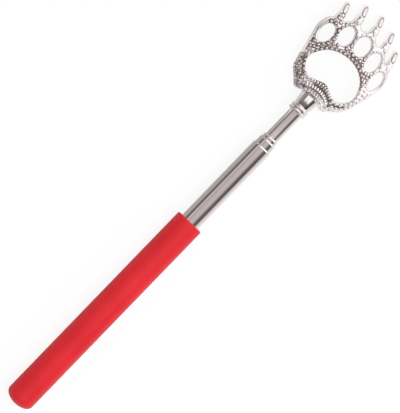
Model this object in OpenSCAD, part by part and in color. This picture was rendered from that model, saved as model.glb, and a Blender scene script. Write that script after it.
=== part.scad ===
// Telescopic back scratcher: a soft grip on a handle tube, three thinner tubes
// that slide out of it on friction springs, and a cast bear paw on a turned neck.
// The rod lies along X with the paw's back up, so that the grip and the five
// claw tips rest together on the plane z = 0.

/* [Grip] */
// Outside diameter of the soft grip
grip_d = 13.6; // [12:0.2:18]
// Length of the grip from its closed end to its mouth
grip_len = 112; // [80:1:140]
// Thickness of the closed end, measured on the axis
grip_floor = 4; // [3:0.5:8]
// How far the closed end is domed
grip_dome = 4; // [1:0.5:6]
// Rounding of the grip's mouth
grip_lip = 0.8; // [0.2:0.1:1.2]

/* [Tubes] */
// Outside diameter of the handle tube
tube_d = 9.4; // [8.6:0.1:10.6]
// Wall of every tube
tube_wall = 0.25; // [0.2:0.01:0.3]
// Radial room between a tube and the one outside it
tube_gap = 0.25; // [0.2:0.01:0.3]
// Radial clearance where a mouth or a foot guides its neighbour
guide_gap = 0.06; // [0.03:0.01:0.1]
// Length over which a tube's mouth is rolled in
mouth_len = 1.2; // [0.8:0.1:2]
// Handle tube that shows in front of the grip
handle_show = 46.2; // [20:0.2:80]
// Second tube that shows in front of the handle tube
second_show = 3.8; // [2:0.1:10]
// Third tube that shows in front of the second tube
third_show = 2; // [1.6:0.1:10]
// Inner tube that shows behind the neck, drawn out as it lies here
inner_show = 15.6; // [2:0.2:40]

/* [Feet of the tubes] */
// Thickness of a foot bush's flange
foot_flange = 1.2; // [0.8:0.1:2]
// Length of a foot bush inside its tube
foot_spigot = 5; // [3:0.5:8]
// Free travel left between two neighbouring feet when pushed in
foot_gap = 0.5; // [0.3:0.1:1]
// Diameter of the air vent through a foot bush
vent_d = 1.6; // [0.8:0.1:2.4]
// Length of the friction springs round a foot
spring_len = 8; // [5:0.5:12]
// Radial clearance on each side of the friction springs
spring_gap = 0.02; // [0.01:0.01:0.04]
// Angle that one of the two friction springs spans
spring_angle = 168; // [120:2:174]
// Length of the rolled bead that keeps the springs on their foot
bead_len = 0.8; // [0.6:0.1:1.4]
// Radial clearance of a pressed or stretched seat
press_gap = 0.01; // [0.005:0.005:0.02]

/* [Neck] */
// Length of the turned neck between the inner tube and the paw
neck_len = 9.8; // [7.6:0.2:14]
// Wall of the neck round its socket, in the grooves
neck_wall = 0.7; // [0.5:0.05:1]
// Height of the two ring beads above the grooves
neck_bead_h = 0.6; // [0.3:0.05:0.9]
// Length of one ring bead
neck_bead_len = 1.7; // [1.2:0.1:2.2]
// How far the bell at the paw stands above the grooves
neck_bell_h = 1; // [0.5:0.05:1.5]
// Depth of the socket that takes the inner tube
socket_depth = 6; // [4:0.2:6.4]
// Diameter of the paw's tenon in the neck
tenon_d = 4.8; // [3:0.1:5.4]
// Length of the tenon
tenon_len = 2.6; // [1:0.1:2.8]

/* [Paw] */
// Greatest width of the paw, over the outer toes
paw_w = 42; // [40:0.5:48]
// Width of the palm behind the toes
palm_w = 36; // [34:0.5:38]
// Width of the heel beside the neck
heel_w = 24; // [20:0.5:26]
// Diameter of the paw's rounded rim
rim_d = 3.2; // [2.6:0.1:3.8]
// Thickness of the cast plate inside the rim
plate_t = 2.7; // [1.8:0.1:3]
// Radius of the paw's domed back
dome_r = 46; // [38:1:70]
// Height of the dome's middle above the rod's axis
crown_z = 4.5; // [3:0.1:6]
// Distance of the dome's highest point from the neck
crown_x = 21.5; // [16:0.5:26]
// How far the heel reaches back beside the neck
heel_back = 1.5; // [0.5:0.1:2]
// Distance from the neck to the palm window
heel_depth = 5.8; // [5:0.1:7]
// Length of the palm window
window_len = 17.4; // [14:0.1:18.2]
// Width of the palm window
window_w = 28.4; // [24:0.2:29]
// How far the heel pad stands into the palm window
window_notch = 2.7; // [1:0.1:4]
// Diameter of the heel pad's rounded ends
heel_pad_d = 3.4; // [3.3:0.1:4]

/* [Toes and claws] */
// Distance of the middle toe window from the neck
toe_x = 31.4; // [31:0.1:36]
// Radius of the arc that the toe windows lie on
toe_arc_r = 22.6; // [21.6:0.1:24]
// Angle from one toe to the next on that arc
toe_fan = 22.6; // [21.5:0.1:23.5]
// Length of a toe window
toe_len = 9.7; // [8:0.1:10.2]
// Width of the middle toe window
toe_w = 7.2; // [6:0.1:8.6]
// How much narrower each toe window is than its inner neighbour
toe_narrow = 0.7; // [0.6:0.1:1.6]
// Distance from a toe window's middle to its claw's tip
claw_reach = 17.3; // [12:0.1:20]
// Diameter of the knuckle that a claw grows out of
knuckle_d = 4.2; // [3.6:0.1:4.8]
// Share of the claw's length that the knuckle covers
knuckle_share = 0.3; // [0.2:0.05:0.5]
// How far the knuckle's end stands above the claw all round
cuticle = 0.25; // [0.15:0.05:0.4]
// Diameter of a claw at its blunt tip
claw_tip_d = 2.6; // [1.6:0.1:3]
// Share of a claw's reach that still follows the dome before it bends down
claw_lead = 0.62; // [0.4:0.02:0.8]

/* [Hidden] */
$fn = 64;
// Facets of a claw's round section, of the paw's rim, of its dome and of a toe window
claw_sides = 14;
rim_sides = 9;
dome_sides = 72;
window_sides = 28;
// Curve steps between two outline points, and along an arc or a claw
curve_steps = 3;
arc_steps = 8;
claw_steps = 6;
tip_steps = 4;
// The toes are numbered from one outer toe to the other
toes = [-2:2];

axis_h = grip_d / 2;
tube_step = tube_wall + tube_gap;
roll_in = tube_gap - guide_gap;
foot_pitch = foot_spigot + foot_gap + foot_flange;
push_in = inner_show - foot_gap;
neck_x = grip_len + handle_show + second_show + third_show + inner_show;
paw_x = neck_x + neck_len;
overall_len = paw_x + toe_x + claw_reach;
rim_r = rim_d / 2;
socket_r = tube_r(3) + press_gap;
groove_r = socket_r + neck_wall;
bell_r = groove_r + neck_bell_h;
// Room between the neck's bell and the heel that wraps round it
heel_clear = 0.2;
// Rim left between a toe window and the knuckle in front of it
knuckle_inset = 0.3;
// The neck's bell swells quickly at first: exponent of its profile
bell_swell = 0.6;

// Outside radius of a tube, from the handle tube (0) to the inner tube (3)
function tube_r(i) = tube_d / 2 - i * tube_step;
// Where the lower end of a tube lies, measured from the grip's closed end
function foot_x(i) = grip_floor + foot_flange + i * foot_pitch + (i == 3 ? push_in : 0);
// Where the upper end of a tube lies
function mouth_x(i) =
    i == 0 ? grip_len + handle_show
    : i == 1 ? mouth_x(0) + second_show
    : i == 2 ? mouth_x(1) + third_show
    : neck_x + socket_depth;

// Height of the paw's middle surface above the rod's axis, and its normal
function dome_z(x, y) = crown_z - dome_r + sqrt(pow(dome_r, 2) - pow(x - crown_x, 2) - pow(y, 2));
function dome_point(p) = [p.x, p.y, dome_z(p.x, p.y)];
function dome_normal(p) = (dome_point(p) - [crown_x, 0, crown_z - dome_r]) / dome_r;
function unit(v) = v / norm(v);

// Toe window i: middle, and half its width
function toe_middle(i) = [toe_x - toe_arc_r * (1 - cos(i * toe_fan)), toe_arc_r * sin(i * toe_fan)];
function toe_half(i) = toe_w / 2 - abs(i) * toe_narrow / 2;

// Closed smooth curve through a ring of points
function blend_point(a, b, c, d, t) =
    0.5 * (2 * b + (c - a) * t + (2 * a - 5 * b + 4 * c - d) * pow(t, 2)
        + (3 * b - a - 3 * c + d) * pow(t, 3));
function smooth_ring(p) =
    let (n = len(p))
    [for (i = [0:n - 1], k = [0:curve_steps - 1])
        blend_point(p[(i + n - 1) % n], p[i], p[(i + 1) % n], p[(i + 2) % n], k / curve_steps)];
// Half an outline, from the axis round to the axis, completed by its mirror image
function both_halves(p) = concat(p, [for (i = [len(p) - 2:-1:1]) [p[i].x, -p[i].y]]);

// Middle line of the paw's rim: round the heel, along the palm, and scalloped over the toes
toe_front = toe_len / 2 + rim_r;
rim_half = [
    [rim_r, 0],
    [rim_r, heel_w / 6],
    [rim_r - heel_back, heel_w / 3],
    [rim_r + heel_back / 3, heel_w / 2 - rim_r],
    [heel_depth, (heel_w + 2 * palm_w) / 6 - rim_r],
    [2 * heel_depth, palm_w / 2 - rim_r],
    [toe_middle(2).x - toe_len / 2, (palm_w + 2 * paw_w) / 6 - rim_r],
    [toe_middle(2).x, paw_w / 2 - rim_r],
    [toe_middle(2).x + toe_len / 2, (palm_w + 2 * paw_w) / 6 - rim_r],
    [toe_middle(2).x + toe_front, toe_middle(2).y],
    [toe_middle(1.5).x + toe_len / 2, toe_middle(1.5).y],
    [toe_middle(1).x + toe_front, toe_middle(1).y],
    [toe_middle(0.5).x + toe_len / 2 - rim_r / 2, toe_middle(0.5).y],
    [toe_middle(0).x + toe_front, 0]
];
rim_ring = smooth_ring(both_halves(rim_half));

// Palm window: a kidney, as shares of its length and half width from its back edge
window_half = [
    for (p = [[window_notch / window_len, 0], [0.06, 0.28], [0, 0.54], [0.09, 0.83],
              [0.36, 1], [0.72, 0.82], [0.93, 0.46], [1, 0]])
        [heel_depth + p.x * window_len, p.y * window_w / 2]
];
window_ring = smooth_ring(both_halves(window_half));

// Points along a claw: from the toe's front along the dome, then down to the resting plane
function claw_root(i) = dome_point(toe_middle(i) + [toe_len / 2 + knuckle_inset + knuckle_d / 2, 0]);
function claw_tip(i) = [toe_middle(i).x + claw_reach - claw_tip_d / 2, toe_middle(i).y, claw_tip_d / 2 - axis_h];
function claw_bend(i) =
    let (root = claw_root(i), run = claw_lead * (claw_tip(i).x - root.x), normal = dome_normal(root))
    root + [run, 0, -run * normal.x / normal.z];
function claw_point(i, t) =
    pow(1 - t, 2) * claw_root(i) + 2 * t * (1 - t) * claw_bend(i) + pow(t, 2) * claw_tip(i);
function claw_run(i, t) = (1 - t) * (claw_bend(i) - claw_root(i)) + t * (claw_tip(i) - claw_bend(i));
function claw_r(t) = (knuckle_d + (claw_tip_d - knuckle_d) * t) / 2 - (1 - t) * cuticle;
// Ring of points round a claw, square to its run
function claw_ring(middle, run, r) =
    let (ahead = unit(run), side = [0, 1, 0], up = cross(ahead, side))
    [for (k = [0:claw_sides - 1])
        middle + r * (cos(360 * k / claw_sides) * side + sin(360 * k / claw_sides) * up)];

// Places what is drawn from the grip's closed end along X into the resting frame
module on_rod(x = 0) {
    translate([x - overall_len / 2, 0, axis_h])
        children();
}

// Revolves a profile of [radius, distance along the rod] points round the rod's axis
module turned(profile, angle = 360) {
    rotate([0, 90, 0])
        rotate_extrude(angle = angle)
            polygon(profile);
}

// Rolled bead on a sliding tube, above its friction springs
function bead_rise(i) = [
    for (k = [0:arc_steps])
        [tube_r(i) + roll_in * sin(180 * k / arc_steps),
         foot_x(i) + spring_len + 2 * foot_gap + bead_len * k / arc_steps]
];
// Mouth that is rolled in to guide the next tube
function mouth_fall(i) = [
    for (k = [0:arc_steps])
        [tube_r(i) - roll_in * (1 - cos(90 * k / arc_steps)),
         mouth_x(i) - tube_wall - mouth_len * (1 - sin(90 * k / arc_steps))]
];
// Outer side of a tube from its foot to its mouth
function tube_outside(i) = concat(
    [[tube_r(i), foot_x(i)]],
    i > 0 ? bead_rise(i) : [],
    i < 3 ? mouth_fall(i) : [[tube_r(i), mouth_x(i) - tube_wall]]
);
// Thin wall of even thickness with a turned edge at the mouth
module tube(i) {
    outside = tube_outside(i);
    edge = outside[len(outside) - 1];
    inside = [for (k = [len(outside) - 1:-1:0]) outside[k] - [tube_wall, 0]];
    turned_edge = [
        for (k = [1:arc_steps - 1])
            edge + [(cos(180 * k / arc_steps) - 1) * tube_wall / 2, sin(180 * k / arc_steps) * tube_wall]
    ];
    on_rod()
        turned(concat(outside, turned_edge, inside));
}

// Turned plug in the foot of tube i, with a flange of the given radius below the tube
module foot(i, flange_r, vent_r) {
    spigot_r = tube_r(i) - tube_wall - press_gap;
    low = foot_x(i) - foot_flange;
    high = foot_x(i) + foot_spigot;
    bevel = foot_flange / 5;
    on_rod()
        turned([
            [vent_r, low], [flange_r - bevel, low], [flange_r, low + bevel],
            [flange_r, foot_x(i)], [spigot_r, foot_x(i)],
            [spigot_r, high - bevel], [spigot_r - bevel, high], [vent_r, high]
        ]);
}
module foot_bush(i) {
    foot(i, tube_r(i) + roll_in, vent_d / 2);
}

// Pair of curved leaf springs that grip between two tubes
module friction_springs(i) {
    inner_r = tube_r(i) + spring_gap;
    outer_r = tube_r(i) + tube_gap - spring_gap;
    low = foot_x(i) + foot_gap;
    for (side = [0, 180])
        on_rod()
            rotate([side - spring_angle / 2, 0, 0])
                turned([[inner_r, low], [outer_r, low], [outer_r, low + spring_len], [inner_r, low + spring_len]],
                    spring_angle);
}

module grip_sleeve() {
    bore_r = tube_d / 2 + press_gap;
    dome = [
        for (k = [0:2 * arc_steps])
            [axis_h * sin(45 * k / arc_steps), grip_dome * (1 - cos(45 * k / arc_steps))]
    ];
    lip = [
        for (k = [0:arc_steps])
            [axis_h - grip_lip * (1 - cos(90 * k / arc_steps)),
             grip_len - grip_lip * (1 - sin(90 * k / arc_steps))]
    ];
    color("crimson")
        on_rod()
            turned(concat(dome, lip, [[bore_r, grip_len], [bore_r, grip_floor], [0, grip_floor]]));
}

module handle_tube() {
    color("silver")
        tube(0);
}
module second_tube() {
    color("silver")
        tube(1);
}
module third_tube() {
    color("silver")
        tube(2);
}
module inner_tube() {
    color("silver")
        tube(3);
}

module handle_plug() {
    color("goldenrod")
        foot(0, tube_r(0), 0);
}
module second_foot_bush() {
    color("goldenrod")
        foot_bush(1);
}
module third_foot_bush() {
    color("goldenrod")
        foot_bush(2);
}
module inner_foot_bush() {
    color("goldenrod")
        foot_bush(3);
}

module second_friction_springs() {
    color("peru")
        friction_springs(1);
}
module third_friction_springs() {
    color("peru")
        friction_springs(2);
}
module inner_friction_springs() {
    color("peru")
        friction_springs(3);
}

// Turned neck: two ring beads, a groove and a bell, with a socket for the tube and one for the tenon
module neck_ferrule() {
    beads = [
        for (bead = [0, 1], k = [0:arc_steps])
            [groove_r + neck_bead_h * sin(180 * k / arc_steps), (bead + k / arc_steps) * neck_bead_len]
    ];
    bell_low = 2 * neck_bead_len + neck_bead_h / 2;
    bell = [
        for (k = [0:arc_steps])
            [groove_r + neck_bell_h * pow(k / arc_steps, bell_swell),
             bell_low + (neck_len - bell_low) * k / arc_steps]
    ];
    color("lightgray")
        on_rod(neck_x)
            turned(concat([[socket_r, 0]], beads, bell,
                [[tenon_d / 2, neck_len], [tenon_d / 2, socket_depth], [socket_r, socket_depth]]));
}

// Round bar along a closed line of plan points on the dome
module dome_bar(ring) {
    n = len(ring);
    points = [
        for (i = [0:n - 1])
            let (
                ahead = dome_point(ring[(i + 1) % n]),
                behind = dome_point(ring[(i + n - 1) % n]),
                up = dome_normal(ring[i]),
                side = unit(cross(up, ahead - behind))
            )
            for (k = [0:rim_sides - 1])
                dome_point(ring[i]) + rim_r * (cos(360 * k / rim_sides) * side + sin(360 * k / rim_sides) * up)
    ];
    faces = [
        for (i = [0:n - 1], k = [0:rim_sides - 1])
            let (a = i * rim_sides, b = ((i + 1) % n) * rim_sides, next = (k + 1) % rim_sides)
            each [[a + k, b + next, a + next], [a + k, b + k, b + next]]
    ];
    polyhedron(points, faces);
}

// Plan of the paw's openings
module windows() {
    polygon(window_ring);
    for (i = toes)
        translate(toe_middle(i))
            scale([toe_len / 2, toe_half(i)])
                circle(1, $fn = window_sides);
}

// Domed plate inside the rim, still without its openings
module domed_plate() {
    intersection() {
        translate([crown_x, 0, crown_z - dome_r])
            difference() {
                sphere(dome_r + plate_t / 2, $fn = dome_sides);
                sphere(dome_r - plate_t / 2, $fn = dome_sides);
            }
        translate([0, 0, -dome_r / 2])
            linear_extrude(dome_r)
                polygon(rim_ring);
    }
}

// Horn that bends down from the front of toe i to a rounded tip
module claw(i) {
    tip = claw_tip(i);
    ahead = unit(claw_run(i, 1));
    shaft = [
        for (k = [0:claw_steps])
            let (t = k / claw_steps)
            each claw_ring(claw_point(i, t), claw_run(i, t), claw_r(t))
    ];
    cap = [
        for (k = [1:tip_steps - 1])
            let (a = 90 * k / tip_steps)
            each claw_ring(tip + claw_r(1) * sin(a) * ahead, ahead, claw_r(1) * cos(a))
    ];
    points = concat(shaft, cap, [tip + claw_r(1) * ahead]);
    pole = len(points) - 1;
    last = pole - claw_sides;
    walls = [
        for (a = [0:claw_sides:last - 1], k = [0:claw_sides - 1])
            let (b = a + claw_sides, next = (k + 1) % claw_sides)
            each [[a + k, b + next, a + next], [a + k, b + k, b + next]]
    ];
    point = [for (k = [0:claw_sides - 1]) [last + k, pole, last + (k + 1) % claw_sides]];
    polyhedron(points, concat([[for (k = [0:claw_sides - 1]) k]], walls, point));
}

// Rounded front of toe i, which the claw grows out of
module knuckle(i) {
    hull() {
        translate(claw_root(i))
            sphere(d = knuckle_d, $fn = claw_sides);
        translate(claw_point(i, knuckle_share))
            sphere(claw_r(knuckle_share) + cuticle, $fn = claw_sides);
    }
}

// Rounded end of the heel mound, at an angle round its front
module heel_pad(angle) {
    translate(dome_point([heel_depth * (1 + cos(angle)) / 2, heel_w / 4 * sin(angle)]))
        sphere(d = heel_pad_d, $fn = claw_sides);
}

// Mound that fans out from the neck into the heel and carries the tenon
module heel_boss() {
    neck_sides = 2 * claw_sides;
    fan = 45;
    for (angle = [-2 * fan:fan:fan])
        hull() {
            rotate([0, 90, 0])
                cylinder(r = bell_r - heel_clear, h = heel_clear, $fn = neck_sides);
            heel_pad(angle);
            heel_pad(angle + fan);
        }
    translate([-tenon_len, 0, 0])
        rotate([0, 90, 0])
            cylinder(d = tenon_d - 2 * press_gap, h = tenon_len + heel_clear, $fn = neck_sides);
}

module paw_head() {
    color("lightgray")
        on_rod(paw_x)
            union() {
                difference() {
                    union() {
                        domed_plate();
                        dome_bar(rim_ring);
                    }
                    translate([0, 0, -dome_r / 2])
                        linear_extrude(dome_r)
                            windows();
                    translate([-neck_len, 0, 0])
                        rotate([0, 90, 0])
                            cylinder(r = bell_r + heel_clear, h = neck_len);
                }
                heel_boss();
                for (i = toes) {
                    knuckle(i);
                    claw(i);
                }
            }
}

grip_sleeve();
handle_tube();
handle_plug();
second_tube();
second_foot_bush();
second_friction_springs();
third_tube();
third_foot_bush();
third_friction_springs();
inner_tube();
inner_foot_bush();
inner_friction_springs();
neck_ferrule();
paw_head();
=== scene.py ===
"""Looks of the telescopic back scratcher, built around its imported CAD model.

The turned pieces are drawn again as smooth lathe meshes, and the paw is meshed from a
distance field, with its skin of raised beads. Sizes are in millimetres, as in the CAD
source, and go to metres where a mesh is made. The paw's own places are measured from
the neck's end on the rod's axis: x ahead, y to the left, z up.
"""

import itertools
import math

import bpy
import numpy as np
from mathutils import Matrix, Vector


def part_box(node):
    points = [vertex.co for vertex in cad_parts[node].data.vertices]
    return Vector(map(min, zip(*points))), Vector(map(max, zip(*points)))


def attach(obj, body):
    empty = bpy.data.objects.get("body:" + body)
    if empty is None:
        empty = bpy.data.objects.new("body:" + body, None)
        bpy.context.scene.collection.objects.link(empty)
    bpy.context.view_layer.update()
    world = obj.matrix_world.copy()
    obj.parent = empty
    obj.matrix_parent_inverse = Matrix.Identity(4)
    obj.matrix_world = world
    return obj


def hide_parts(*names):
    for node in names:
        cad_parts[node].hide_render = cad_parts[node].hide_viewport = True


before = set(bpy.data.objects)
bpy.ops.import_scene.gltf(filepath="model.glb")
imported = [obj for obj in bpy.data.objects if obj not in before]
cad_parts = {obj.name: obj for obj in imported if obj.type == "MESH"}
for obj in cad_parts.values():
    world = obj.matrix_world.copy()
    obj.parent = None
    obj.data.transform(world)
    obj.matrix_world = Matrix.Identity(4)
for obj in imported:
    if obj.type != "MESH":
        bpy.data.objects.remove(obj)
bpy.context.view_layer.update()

MM = 0.001
# Keeps a divisor from being nought
TINY = 1e-6

# Rod: driving sizes, as in the CAD source
GRIP_D = 13.6
GRIP_LEN = 112
GRIP_FLOOR = 4
GRIP_DOME = 4
GRIP_LIP = 0.8
TUBE_D = 9.4
TUBE_WALL = 0.25
TUBE_GAP = 0.25
GUIDE_GAP = 0.06
PRESS_GAP = 0.01
HANDLE_SHOW = 46.2
SECOND_SHOW = 3.8
THIRD_SHOW = 2
INNER_SHOW = 15.6
FOOT_FLANGE = 1.2
FOOT_SPIGOT = 5
FOOT_GAP = 0.5
SPRING_LEN = 8
BEAD_LEN = 0.8
NECK_LEN = 9.8
NECK_WALL = 0.7
NECK_BEAD_H = 0.6
NECK_BEAD_LEN = 1.7
NECK_BELL_H = 1
BELL_SWELL = 0.6
SOCKET_DEPTH = 6
TENON_D = 4.8

# Paw: driving sizes, as in the CAD source
PAW_W = 42
PALM_W = 36
HEEL_W = 24
RIM_D = 3.2
PLATE_T = 2.7
DOME_R = 46
CROWN_Z = 4.5
CROWN_X = 21.5
HEEL_BACK = 1.5
HEEL_DEPTH = 5.8
HEEL_CLEAR = 0.2
WINDOW_LEN = 17.4
WINDOW_W = 28.4
WINDOW_NOTCH = 2.7
TOE_X = 31.4
TOE_ARC_R = 22.6
TOE_FAN = math.radians(22.6)
TOE_LEN = 9.7
TOE_W = 7.2
TOE_NARROW = 0.7
CLAW_REACH = 17.3
KNUCKLE_D = 4.2
KNUCKLE_INSET = 0.3
KNUCKLE_SHARE = 0.3
CUTICLE = 0.25
CLAW_TIP_D = 2.6
CLAW_LEAD = 0.62
TOES = range(-2, 3)

# Rod: edges that differ a little from the CAD source, and how they are shaded
# Length over which a tube's mouth is rolled in
MOUTH_LEN = 0.55
# Rounding of the bell's edge, and how far the start of its swell is eased
BELL_LIP = 0.5
BELL_EASE = 0.25
# A sharper edge than this isn't shaded smooth
SHARP_ANGLE = math.radians(50)

# Paw: sizes for its smooth surface, beyond the driving sizes
# Distances in from the outline between which the plate thickens into its rim
RIM_BEGIN = 4.2
RIM_FULL = 2.2
# How far the rim's upper side falls towards the outline, and the rounding of the plate's edges
RIM_FALL = 0.55
EDGE_R = 1.3
# Half length and half width of the mound where the plate meets the neck, and the radius of the collar there
MOUND_LEN = 7.2
MOUND_W = 7.4
COLLAR_R = 0.7
# How far ahead of the neck these two still count
MOUND_REACH = 12
# How far off a claw still counts, beside or above its root and behind it
CLAW_NEAR_SIDE = 4.5
CLAW_NEAR_BEHIND = 5
# Straight bars in a claw
CLAW_BARS = 10
# Size of the rounded corner where each form meets the rest
MOUND_BLEND = 1.4
COLLAR_BLEND = 0.2
KNUCKLE_BLEND = 1
CLAW_BLEND = 0.25

# Skin of the paw: raised beads in rows round the windows
BEAD_PITCH = 2.15
BEAD_D = 1.6
BEAD_HEIGHT = 0.5
# Least distance from a bead's middle to the outline and to a window
BEAD_MARGIN = 0.75
WINDOW_MARGIN = 0.5
# Distance of the first row from its window, and the rows round the palm window and round each toe window
ROW_START = 0.95
PALM_ROWS = 5
TOE_ROWS = 3
# Least distance between two beads, as a share of the pitch
BEAD_ROOM = 0.84
# Seed of the random draws, and the shares between which a bead's size and the width of its oval vary
SKIN_SEED = 5
SIZE_RANGE = (0.85, 1.12)
OVAL_RANGE = (0.8, 1)
# Smaller beads in the places that are left: their share of the size, and where they are tried
FILL_SIZE = 0.8
FILL_STEP = 0.4
FILL_X = (-4, 46)
FILL_Y = (-20, 20)
# Shape of a bead: exponent of its roundness, raster cell, and the cells over which its foot is rounded
BEAD_ROUNDNESS = 0.7
SKIN_CELL = 0.06
FOOT_CELLS = range(-2, 3)
# Stretch beside the outer toes where the skin stays within a width
BARE_FROM = 20
BARE_TO = 29.5
BARE_W = 34.6
# How the skin fades out: towards its edge, and down from the paw's back
EDGE_FADE = (0.1, 0.7)
BACK_FADE = (0.1, 0.8)

# Skin of the heel: long beads in rows that fan out from a point behind the neck's end
# Place of that point, the angle of the fan, and its greatest width
FAN_X = -9
FAN_ANGLE = math.radians(76)
FAN_W = 13
# Place of the first row, depth of a row, number of rows, and step between the beads of a row
HEEL_START = 1.6
HEEL_ROW = 2.5
HEEL_ROWS = 4
HEEL_BEAD_W = 1.35
# Shares of a row's depth and of its step that a bead fills
HEEL_FILL_LEN = 0.93
HEEL_FILL_W = 0.98
# The skin wraps over the rim at the heel: how far, how much lower it gets, and where it ends
BEAD_WRAP = 3.2
WRAP_FALL = 0.6
HEEL_FADE = (9, 12)

# Nail on each claw: its middle as a share of the claw, its size, and the width, as a share of it, and
# depth of the groove round it
NAIL_PLACE = 0.62
NAIL_LEN = 6.4
NAIL_W = 2.1
NAIL_LINE = 0.24
NAIL_GROOVE = 0.14

# Tarnish round the beads: how many bead sizes it reaches, and how far up a bead
TARNISH_REACH = 1.6
TARNISH_TOP = 0.75
# Share of the fine stain over the whole casting
STAIN_SHARE = 0.3
# Tarnish in the groove round a nail, and how far from the claw it still counts
NAIL_TARNISH = 0.7
NAIL_TARNISH_REACH = 0.3
# Tarnish left at the skin's edge, its gain per millimetre to the left, which is painted shade on the left
# side, and how far in it grows to full
RIM_TARNISH = 0.28
LEFT_PAINTED_SHADE_GAIN = 0.05
RIM_TARNISH_GROWTH = (0.8, 3.8)
# Painted highlight on the right, which takes the tarnish further in: per millimetre past a place, up to a
# width, and more at the heel
RIGHT_PAINTED_HIGHLIGHT = 0.6
RIGHT_FROM = 6
RIGHT_W = 9
RIGHT_HEEL_PAINTED_HIGHLIGHT = 0.7
RIGHT_HEEL_FROM = 5
RIGHT_HEEL_FADE = (10, 15)
# Painted highlight on the fronts of the toes, which takes the tarnish away, by the distance from the middle
# of their arc, but not on the left one
FRONT_PAINTED_HIGHLIGHT = 0.7
FRONT_FADE = (18.5, 24)
FRONT_LEFT = (9, 13)
# Painted highlight: a bright patch on the heel's left, where the tarnish is taken away
PATCH_PAINTED_HIGHLIGHT = 0.9
PATCH_X = 4.5
PATCH_Y = 7.2
PATCH_FADE = (1.9, 3.8)
# Bright stretch on the left side of the palm, where the tarnish is taken away
STRETCH_PALING = 0.9
STRETCH_FROM = 10.6
STRETCH_TO = 14.8
STRETCH_EDGE = 1
STRETCH_LEFT = (8, 11)

# Sampling of the paw: raster of its plan, a mesh cell that keeps it under 200,000 triangles, and a quick one
PLAN_CELL = 0.2
MESH_CELL = 0.214
# Settling of its points: passes, half step for the slope, least slope, and longest move
SETTLE_PASSES = 2
SLOPE_STEP = 0.03
LEAST_SLOPE = 0.2
LONGEST_MOVE = 0.08

# The tubes are numbered from the handle tube, 0, to the inner tube
INNER = 3

AXIS_H = GRIP_D / 2
RIM_R = RIM_D / 2
TUBE_STEP = TUBE_WALL + TUBE_GAP
ROLL_IN = TUBE_GAP - GUIDE_GAP
FOOT_PITCH = FOOT_SPIGOT + FOOT_GAP + FOOT_FLANGE
NECK_X = GRIP_LEN + HANDLE_SHOW + SECOND_SHOW + THIRD_SHOW + INNER_SHOW
PAW_X = NECK_X + NECK_LEN
TUBE_R = [TUBE_D / 2 - i * TUBE_STEP for i in range(INNER + 1)]
MOUTHS = [*itertools.accumulate([GRIP_LEN + HANDLE_SHOW, SECOND_SHOW, THIRD_SHOW]), NECK_X + SOCKET_DEPTH]
FEET = [GRIP_FLOOR + FOOT_FLANGE + i * FOOT_PITCH for i in range(INNER + 1)]
FEET[INNER] += INNER_SHOW - FOOT_GAP
SOCKET_R = TUBE_R[INNER] + PRESS_GAP
GROOVE_R = SOCKET_R + NECK_WALL
BELL_R = GROOVE_R + NECK_BELL_H
DOME_MIDDLE = np.array([CROWN_X, 0, CROWN_Z - DOME_R])

# Box that holds the paw
PAW_LOW = np.array([-5.4, -22, -AXIS_H - 0.5])
PAW_HIGH = np.array([49, 22, 6.6])

# Where the rod's closed end lies in the frame
ROD_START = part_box("grip_sleeve")[0].x / MM


# Materials


def new_material(name):
    """Empty Principled material, with its nodes, links and shader."""
    material = bpy.data.materials.new(name)
    material.use_nodes = True
    tree = material.node_tree
    return material, tree.nodes, tree.links, tree.nodes["Principled BSDF"]


def ramp(nodes, stops):
    """Colour ramp node through (place, value or colour) stops."""
    node = nodes.new("ShaderNodeValToRGB")
    elements = node.color_ramp.elements
    while len(elements) < len(stops):
        elements.new(0.5)
    for element, (place, colour) in zip(elements, stops):
        element.position = place
        element.color = (*colour, 1) if hasattr(colour, "__len__") else (colour, colour, colour, 1)
    return node


def maths(nodes, links, operation, *values):
    """Math node on numbers or on other nodes' outputs."""
    node = nodes.new("ShaderNodeMath")
    node.operation = operation
    for socket, value in zip(node.inputs, values):
        if isinstance(value, bpy.types.NodeSocket):
            links.new(value, socket)
        else:
            socket.default_value = value
    return node.outputs["Value"]


def between(nodes, links, value, low, high):
    """Share of the way from low to high."""
    node = nodes.new("ShaderNodeMapRange")
    node.inputs["From Min"].default_value = low
    node.inputs["From Max"].default_value = high
    links.new(value, node.inputs["Value"])
    return node.outputs["Result"]


def mixed(nodes, links, share, first, second):
    """Mix of two colours, each a colour or another node's output."""
    node = nodes.new("ShaderNodeMix")
    node.data_type = "RGBA"
    links.new(share, node.inputs["Factor"])
    for name, colour in (("A", first), ("B", second)):
        socket = next(s for s in node.inputs if s.name == name and s.type == "RGBA")
        if isinstance(colour, bpy.types.NodeSocket):
            links.new(colour, socket)
        else:
            socket.default_value = colour
    return next(s for s in node.outputs if s.type == "RGBA")


def noise(nodes, links, scale, detail, stretch=(1, 1, 1)):
    """Noise in the object's own space. A small stretch value draws it out along that axis."""
    place = nodes.new("ShaderNodeTexCoord")
    mapping = nodes.new("ShaderNodeMapping")
    mapping.inputs["Scale"].default_value = stretch
    texture = nodes.new("ShaderNodeTexNoise")
    texture.inputs["Scale"].default_value = scale
    texture.inputs["Detail"].default_value = detail
    links.new(place.outputs["Object"], mapping.inputs["Vector"])
    links.new(mapping.outputs["Vector"], texture.inputs["Vector"])
    return texture


def bump(nodes, links, shader, height, strength, distance):
    """Fine relief on a shader's normal."""
    node = nodes.new("ShaderNodeBump")
    node.inputs["Strength"].default_value = strength
    node.inputs["Distance"].default_value = distance
    links.new(height, node.inputs["Height"])
    links.new(node.outputs["Normal"], shader.inputs["Normal"])


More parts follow.
